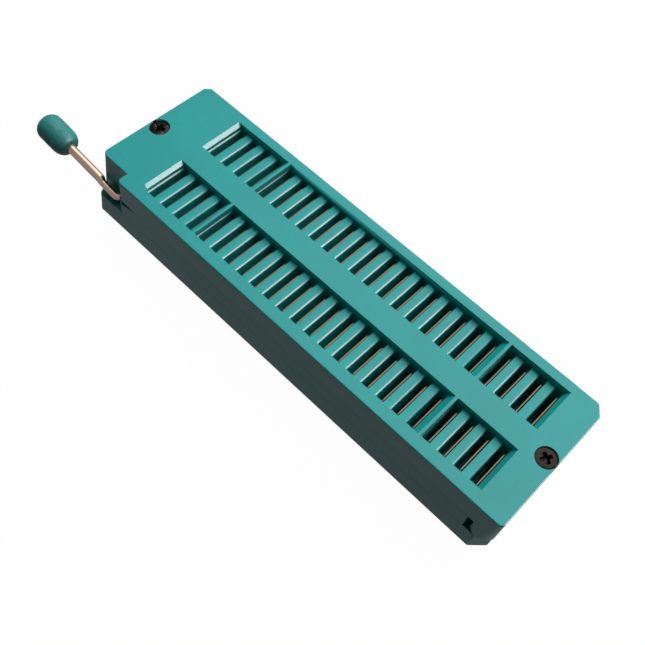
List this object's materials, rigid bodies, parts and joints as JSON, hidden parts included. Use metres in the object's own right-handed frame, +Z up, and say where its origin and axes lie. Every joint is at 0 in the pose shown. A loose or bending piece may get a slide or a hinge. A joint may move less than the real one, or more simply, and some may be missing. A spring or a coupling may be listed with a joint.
{
  "type": "zif socket",
  "caption": "Long zero insertion force chip socket: a lever with a knob moves a slider that opens and clamps every slot, above rows of solder pins.",
  "frame": {"origin": "middle of the slot and pin field, on the seating plane under the base", "axes": "+X along the rows, from the lever end to the plain end; +Y across the rows, from the lever side to the plain side; +Z up, the way a chip leaves"},
  "size_m": [0.0871, 0.023, 0.0148],
  "materials": {
    "moulding_cover": "fine satin moulding",
    "moulding_slider": "fine satin moulding",
    "moulding_base": "fine satin moulding",
    "knob_moulding": "satin moulding",
    "lever_steel": "drawn wire, warm nickel plate",
    "screw_steel": "dark brown black nickel",
    "contact_bronze": "stamped phosphor bronze, flash gold"
  },
  "bodies": {
    "housing": {"base_housing": "moulding_base", "top_cover": "moulding_cover", "cover_screw_left": "screw_steel", "cover_screw_right": "screw_steel", "contact_front_01": "contact_bronze", "contact_front_02": "contact_bronze", "contact_front_03": "contact_bronze", "contact_front_04": "contact_bronze", "contact_front_05": "contact_bronze", "contact_front_06": "contact_bronze", "contact_front_07": "contact_bronze", "contact_front_08": "contact_bronze", "contact_front_09": "contact_bronze", "contact_front_10": "contact_bronze", "contact_front_11": "contact_bronze", "contact_front_12": "contact_bronze", "contact_front_13": "contact_bronze", "contact_front_14": "contact_bronze", "contact_front_15": "contact_bronze", "contact_front_16": "contact_bronze", "contact_front_17": "contact_bronze", "contact_front_18": "contact_bronze", "contact_front_19": "contact_bronze", "contact_front_20": "contact_bronze", "contact_front_21": "contact_bronze", "contact_front_22": "contact_bronze", "contact_front_23": "contact_bronze", "contact_front_24": "contact_bronze", "contact_back_01": "contact_bronze", "contact_back_02": "contact_bronze", "contact_back_03": "contact_bronze", "contact_back_04": "contact_bronze", "contact_back_05": "contact_bronze", "contact_back_06": "contact_bronze", "contact_back_07": "contact_bronze", "contact_back_08": "contact_bronze", "contact_back_09": "contact_bronze", "contact_back_10": "contact_bronze", "contact_back_11": "contact_bronze", "contact_back_12": "contact_bronze", "contact_back_13": "contact_bronze", "contact_back_14": "contact_bronze", "contact_back_15": "contact_bronze", "contact_back_16": "contact_bronze", "contact_back_17": "contact_bronze", "contact_back_18": "contact_bronze", "contact_back_19": "contact_bronze", "contact_back_20": "contact_bronze", "contact_back_21": "contact_bronze", "contact_back_22": "contact_bronze", "contact_back_23": "contact_bronze", "contact_back_24": "contact_bronze"},
    "slider": {"slider": "moulding_slider"},
    "lever": {"lever_rod": "lever_steel", "lever_knob": "knob_moulding"}
  },
  "joints": [
    {"name": "lever_hinge", "type": "hinge", "parent": "housing", "child": "lever", "pos_m": [-0.0352, 0, 0.0051], "axis": [0, 1, 0], "range_deg": [0, 83]},
    {"name": "slider_travel", "type": "slide", "parent": "housing", "child": "slider", "axis": [1, 0, 0], "range_m": [0, 0.0008]}
  ],
  "couplings": [
    {"joint": "lever_hinge", "follows": "slider_travel", "rad_per_m": 1810.8}
  ]
}
